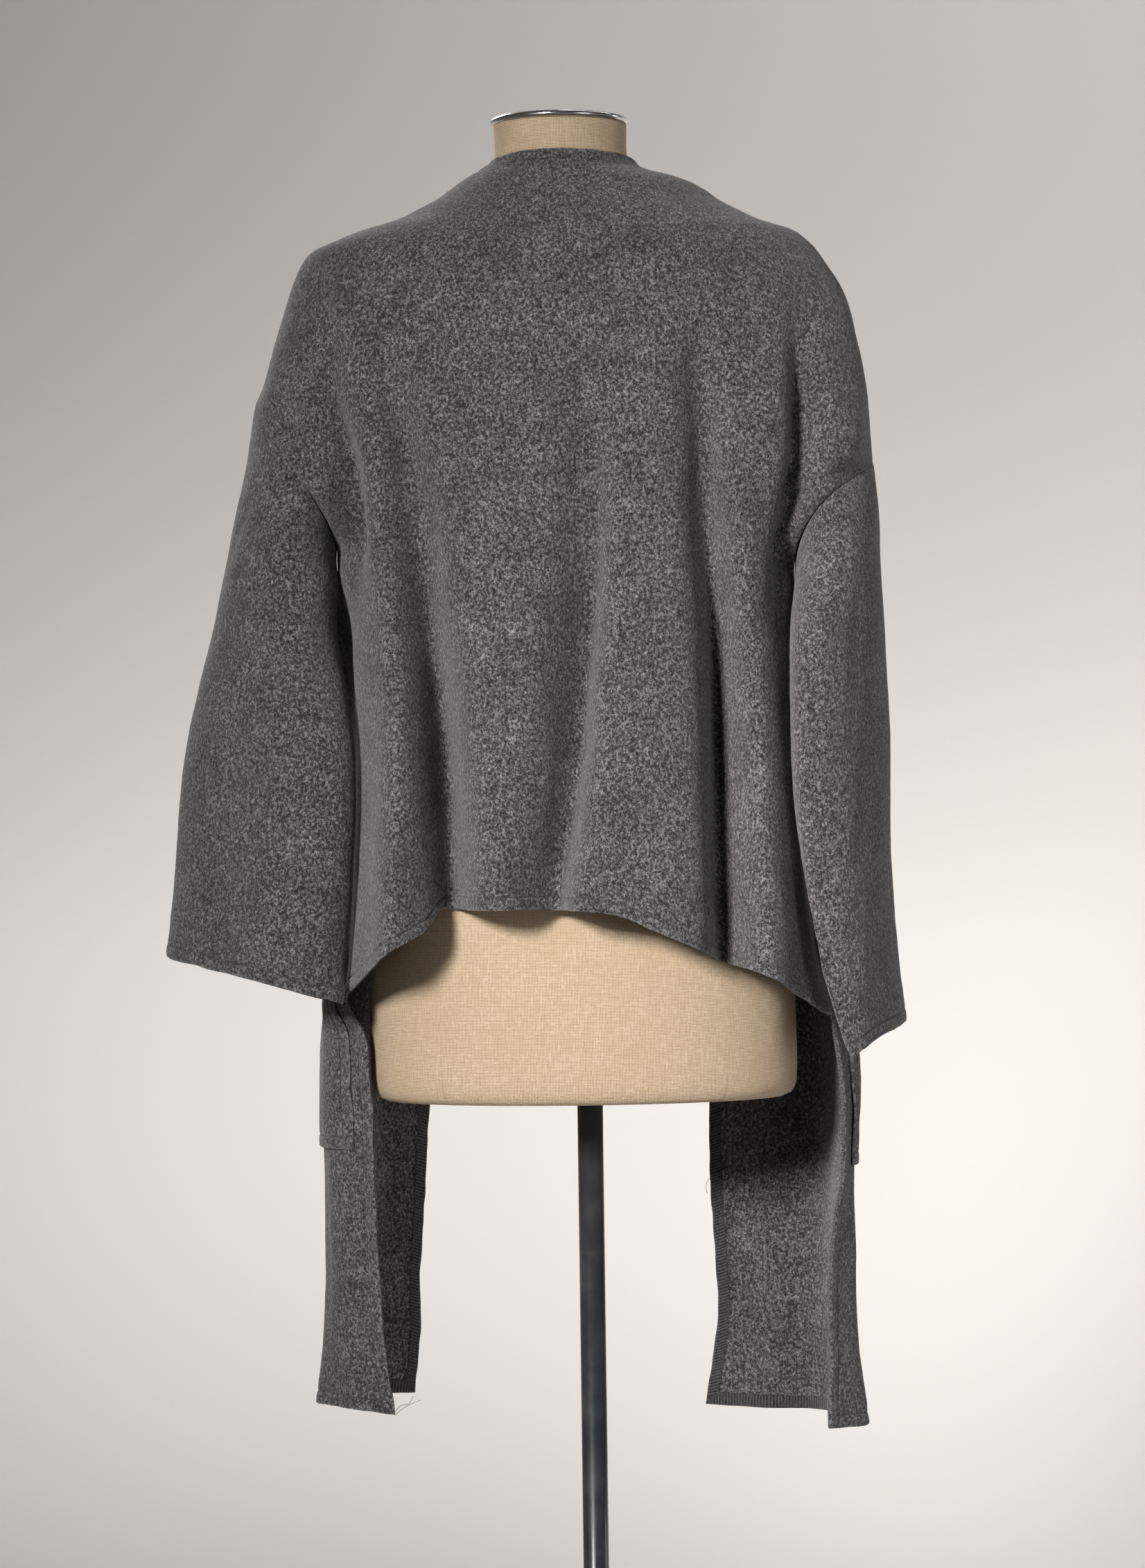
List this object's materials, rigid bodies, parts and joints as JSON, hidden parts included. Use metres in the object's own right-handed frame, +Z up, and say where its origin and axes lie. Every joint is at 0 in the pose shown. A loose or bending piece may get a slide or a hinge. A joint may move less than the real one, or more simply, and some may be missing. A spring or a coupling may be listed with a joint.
{
  "type": "knit cardigan on a dress form",
  "caption": "Open-front wool cardigan with wide sleeves, long front panels and patch pockets, worn by a limbless linen dress form with a steel neck cap, pole and round base.",
  "frame": {"origin": "centre of the round base's underside, on the pole's axis", "axes": "+Z up the pole, +Y towards the wearer's front, +X towards the wearer's right"},
  "size_m": [0.6054, 0.36, 1.5642],
  "materials": {
    "wool": "matte melange boiled wool",
    "linen": "matte woven linen",
    "rim_steel": "satin",
    "painted_steel": "satin"
  },
  "bodies": {
    "root": {"back": "wool", "front_left": "wool", "front_right": "wool", "sleeve_left": "wool", "sleeve_right": "wool", "pocket_left": "wool", "pocket_right": "wool", "form_torso": "linen", "form_neck_cap": "rim_steel", "form_pole": "painted_steel", "form_base": "painted_steel"}
  },
  "joints": []
}
